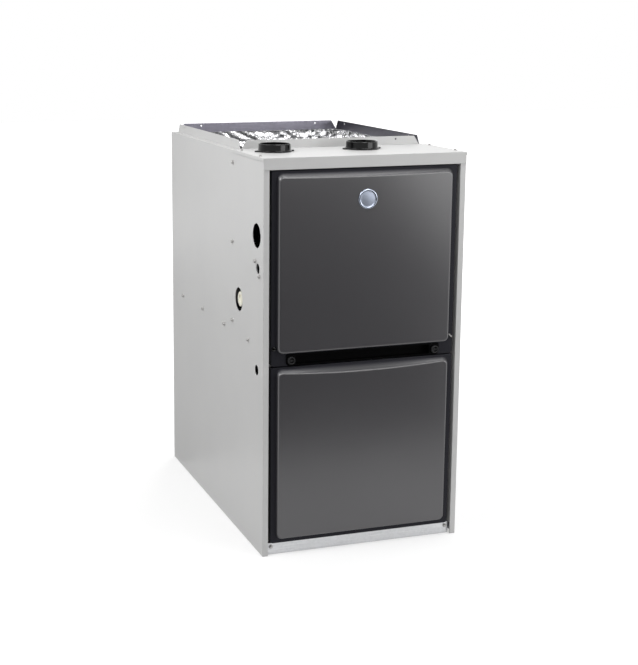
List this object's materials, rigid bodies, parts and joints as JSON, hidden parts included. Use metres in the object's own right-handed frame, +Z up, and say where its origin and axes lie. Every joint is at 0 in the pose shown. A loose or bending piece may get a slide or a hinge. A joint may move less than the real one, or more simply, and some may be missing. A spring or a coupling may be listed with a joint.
{
  "type": "forced air gas furnace",
  "caption": "Upflow condensing gas furnace in a tall steel cabinet, with dark pressed doors, a flanged supply outlet on top and black pipe collars.",
  "frame": {"origin": "centre of the underside of the bounding box, on the floor", "axes": "+Z up, the longest extent; +X to the right as seen from the front, the shortest extent; the doors face -Y"},
  "size_m": [0.446, 0.7138, 0.857],
  "materials": {
    "painted_steel": "satin light grey paint",
    "zinc_steel": "galvanised, spangled",
    "charcoal": "satin charcoal paint",
    "black_plastic": "gloss black",
    "foil": "crinkled aluminium foil facing",
    "tube_steel": "aluminised steel, dull",
    "cast_aluminium": "as cast",
    "grey_plastic": "matt dark grey",
    "cream_plastic": "matt off-white",
    "white_pipe": "matt white",
    "board_green": "lacquered circuit board",
    "motor_black": "black enamel",
    "badge_plate": "brushed"
  },
  "bodies": {
    "furnace": {"left_side_panel": "painted_steel", "right_side_panel": "painted_steel", "back_panel": "painted_steel", "top_panel": "painted_steel", "blower_deck": "zinc_steel", "vestibule_panel": "zinc_steel", "front_base_rail": "zinc_steel", "rear_base_rail": "zinc_steel", "foil_liner_left": "foil", "foil_liner_right": "foil", "foil_liner_back": "foil", "vent_collar": "black_plastic", "intake_collar": "black_plastic", "inducer_housing": "black_plastic", "rollout_switch_left": "black_plastic", "rollout_switch_right": "black_plastic", "pressure_switch": "black_plastic", "heat_cell_1": "tube_steel", "heat_cell_2": "tube_steel", "heat_cell_3": "tube_steel", "rear_header": "tube_steel", "condensing_coil": "cast_aluminium", "gas_valve": "cast_aluminium", "drain_header": "grey_plastic", "door_switch": "grey_plastic", "inducer_motor": "motor_black", "transformer": "motor_black", "blower_motor": "motor_black", "vent_pipe": "white_pipe", "intake_pipe": "white_pipe", "condensate_trap": "white_pipe", "drain_cap": "cream_plastic", "igniter": "cream_plastic", "flame_sensor": "cream_plastic", "burner_box": "zinc_steel", "burner_1": "zinc_steel", "burner_2": "zinc_steel", "burner_3": "zinc_steel", "gas_manifold": "zinc_steel", "control_box": "zinc_steel", "junction_box": "zinc_steel", "blower_wrap": "zinc_steel", "blower_side_left": "zinc_steel", "blower_side_right": "zinc_steel", "motor_mount": "zinc_steel", "control_board": "board_green"},
    "upper_door": {"upper_door": "charcoal", "door_badge": "badge_plate"},
    "lower_door": {"lower_door": "charcoal"},
    "knob_left": {"door_knob_left": "black_plastic"},
    "knob_right": {"door_knob_right": "black_plastic"},
    "switch_plunger": {"door_switch_plunger": "cream_plastic"},
    "blower_rotor": {"blower_wheel": "zinc_steel", "blower_wheel_hub": "zinc_steel"},
    "inducer_rotor": {"inducer_wheel": "grey_plastic"},
    "valve_switch": {"gas_valve_switch": "black_plastic"},
    "reset_button_left": {"rollout_button_left": "cream_plastic"},
    "reset_button_right": {"rollout_button_right": "cream_plastic"}
  },
  "joints": [
    {"name": "upper_door_pull", "type": "slide", "parent": "furnace", "child": "upper_door", "axis": [0, -1, 0], "range_m": [0, 0.2]},
    {"name": "lower_door_pull", "type": "slide", "parent": "furnace", "child": "lower_door", "axis": [0, -1, 0], "range_m": [0, 0.2]},
    {"name": "knob_left_turn", "type": "hinge", "parent": "upper_door", "child": "knob_left", "pos_m": [-0.162, -0.3454, 0.42], "axis": [0, -1, 0], "range_deg": [0, 90]},
    {"name": "knob_right_turn", "type": "hinge", "parent": "upper_door", "child": "knob_right", "pos_m": [0.162, -0.3454, 0.42], "axis": [0, -1, 0], "range_deg": [0, 90]},
    {"name": "door_switch_press", "type": "slide", "parent": "furnace", "child": "switch_plunger", "axis": [0, 1, 0], "range_m": [0, 0.004], "stiffness_N_per_m": 400},
    {"name": "blower_spin", "type": "hinge", "parent": "furnace", "child": "blower_rotor", "pos_m": [0, 0.0419, 0.215], "axis": [1, 0, 0], "continuous": true},
    {"name": "inducer_spin", "type": "hinge", "parent": "furnace", "child": "inducer_rotor", "pos_m": [-0.085, -0.2311, 0.565], "axis": [0, 1, 0], "continuous": true},
    {"name": "valve_switch_turn", "type": "hinge", "parent": "furnace", "child": "valve_switch", "pos_m": [0.028, -0.3144, 0.69], "axis": [0, -1, 0], "range_deg": [0, 90]},
    {"name": "rollout_left_press", "type": "slide", "parent": "furnace", "child": "reset_button_left", "axis": [0, 0, -1], "range_m": [0, 0.0015], "stiffness_N_per_m": 400},
    {"name": "rollout_right_press", "type": "slide", "parent": "furnace", "child": "reset_button_right", "axis": [0, 0, -1], "range_m": [0, 0.0015], "stiffness_N_per_m": 400}
  ]
}
